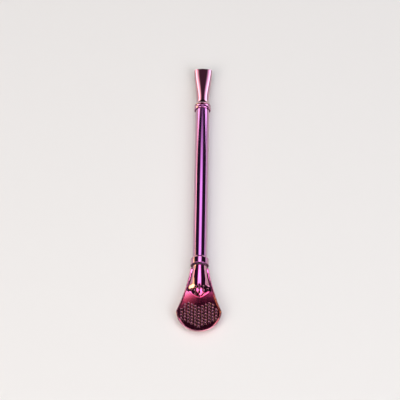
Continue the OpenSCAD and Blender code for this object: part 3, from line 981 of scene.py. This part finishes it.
# Lamps: a card shows in the metal and leaves the floor's light alone, a fill lights the floor and doesn't
# show in the metal, and a lamp does both. The fade gives the shares across, down and up, and a curve.
lamps = {
    "floorFill": {"kind": "fill", "place": (0, -0.2, 2.2), "aim": (0, 0, 0), "size": (2.4, 2.4),
                  "glow": 2.2, "color": (1.0, 0.99, 0.98)},
    "overheadStrip": {"kind": "lamp", "place": (0, 0.553, 1.0), "aim": (0, 0.553, 0.0), "size": (0.9, 0.27),
                      "glow": 2.1, "color": (1.0, 0.95, 1.0), "fade": (0.25, 0.1, 0.4)},
    "leftSoft": {"kind": "lamp", "place": (-1.0, -0.95, 1.15), "aim": (0, 0, 0), "size": (1.4, 1.4),
                 "glow": 4.2, "color": (1.0, 0.93, 0.86)},
    "rightSoft": {"kind": "lamp", "place": (1.0, -0.95, 1.15), "aim": (0, 0, 0), "size": (1.4, 1.4),
                  "glow": 4.2, "color": (0.96, 0.97, 1.0)},
    "leftNear": {"kind": "card", "place": (-0.3, 0.581, 0.515), "aim": (0, 0.581, 0.515), "size": (0.28, 1.1),
                 "glow": 5.0, "color": (1.0, 0.86, 0.7), "lean": 28, "fade": (0.08, 0.05, 0.95, 3)},
    "rightNear": {"kind": "card", "place": (0.3, 0.581, 0.515), "aim": (0, 0.581, 0.515), "size": (0.28, 1.1),
                  "glow": 4.6, "color": (0.92, 0.92, 0.98), "lean": -28, "fade": (0.08, 0.05, 0.95, 3)},
    "leftFacet": {"kind": "card", "place": (-0.5, 0.08, 0.17), "aim": (0, 0.08, 0.17), "size": (0.32, 0.34),
                  "glow": 9.0, "color": (0.72, 1.0, 0.24), "fade": (0.35, 0.1, 0.6)},
    "leftEdge": {"kind": "card", "place": (-0.5, 0.27, 0.06), "aim": (0, 0.27, 0.06), "size": (0.22, 0.1),
                 "glow": 4.0, "color": (1.0, 0.8, 0.5)},
    "rightEdge": {"kind": "card", "place": (0.5, 0.25, 0.06), "aim": (0, 0.25, 0.06), "size": (0.26, 0.09),
                  "glow": 2.0, "color": (0.95, 0.95, 1.0)},
    "toeCard": {"kind": "card", "place": (0.27, -0.54, 0.19), "aim": (0, -0.06, 0.01), "size": (0.75, 0.32),
                "glow": 5.0, "color": (1.0, 1.0, 0.85)},
    "ridgeCard": {"kind": "card", "place": (0, 0.443, 0.99), "aim": (0, 0.443, 0), "size": (1.0, 0.03),
                  "glow": 2.1, "color": (1.0, 0.95, 1.0), "fade": (0.2, 0.3, 0.3)},
    "frontCard": {"kind": "card", "place": (0.06, -0.2, 1.1), "aim": (0, 0, 0), "size": (0.4, 0.35),
                  "glow": 3.2, "color": (0.95, 1.0, 0.95)},
    "mouthCard": {"kind": "card", "place": (0, 0.9, 1.0), "aim": (0, 0.9, 0), "size": (0.9, 0.42),
                  "glow": 0.065, "color": (1.0, 0.45, 0.66)},
    "plateCard": {"kind": "card", "place": (-0.03, 0.43, 0.98), "aim": (-0.03, 0.43, 0),
                  "size": (0.055, 0.055), "glow": 14.0, "color": (1.0, 0.95, 0.62), "fade": (0.5, 0.5, 0.5)}}


# Lets a lamp fade towards its edges. The upward share follows the curve.
def softenLamp(lamp, across, down, up, curve=1):
    lamp.use_nodes = True
    tree = lamp.node_tree
    place = splitNode(tree, tree.nodes.new("ShaderNodeNewGeometry").outputs["Parametric"])
    sides = (("X", 0, across, 1), ("X", 1, 1 - across, 1), ("Y", 0, down, 1), ("Y", 1, 1 - up, curve))
    strength = 1
    for axis, start, end, power in sides:
        share = mathNode(tree, "POWER", rangeNode(tree, place[axis], start, end, 0, 1), power)
        strength = mathNode(tree, "MULTIPLY", share, strength)
    feed(tree, tree.nodes["Emission"].inputs["Strength"], strength)


# Puts a lamp or the camera in its place, turned along a direction and leaning about it.
def placeFacing(obj, place, direction, lean):
    turn = direction.to_track_quat("-Z", "Y").to_matrix().to_4x4() @ Matrix.Rotation(radians(lean), 4, "Z")
    obj.location = place
    obj.rotation_mode = "QUATERNION"
    obj.rotation_quaternion = turn.to_quaternion()
    scene.collection.objects.link(obj)


def addLamp(name, kind, place, aim, size, glow, color, lean=0, fade=(0.2, 0.2, 0.2)):
    lamp = bpy.data.lights.new(name, "AREA")
    lamp.shape = "RECTANGLE"
    lamp.size, lamp.size_y = size
    lamp.energy = glow * pi * size[0] * size[1]
    lamp.color = color
    softenLamp(lamp, *fade)
    obj = bpy.data.objects.new(name, lamp)
    obj.visible_diffuse = kind != "card"
    obj.visible_glossy = kind != "fill"
    placeFacing(obj, place, Vector(aim) - Vector(place), lean)


def buildRoom(color):
    room = bpy.data.worlds.new("room")
    room.use_nodes = True
    room.node_tree.nodes["Background"].inputs["Color"].default_value = (*color, 1)
    scene.world = room


buildFloor(stage)
for name, values in lamps.items():
    addLamp(name, **values)
buildRoom(stage["room"])
scene.view_settings.view_transform = "Standard"
print("stage made with", len(lamps), "lamps")

# Camera: above the spoon's end, looking along the stem, leaning a little.
view = {"target": (-0.0005, -0.0027, 0.0051), "elevation": 61, "distance": 0.987, "roll": 1.05, "lens": 156.6,
        "sensor": 36, "near": 0.01, "far": 50}


def buildCamera(c):
    camera = bpy.data.cameras.new("camera")
    camera.lens, camera.sensor_width = c["lens"], c["sensor"]
    camera.clip_start, camera.clip_end = c["near"], c["far"]
    obj = bpy.data.objects.new("camera", camera)
    e = radians(c["elevation"])
    back = Vector((0, -cos(e), sin(e)))
    placeFacing(obj, Vector(c["target"]) + back * c["distance"], -back, c["roll"])
    scene.camera = obj


buildCamera(view)
print("camera made")
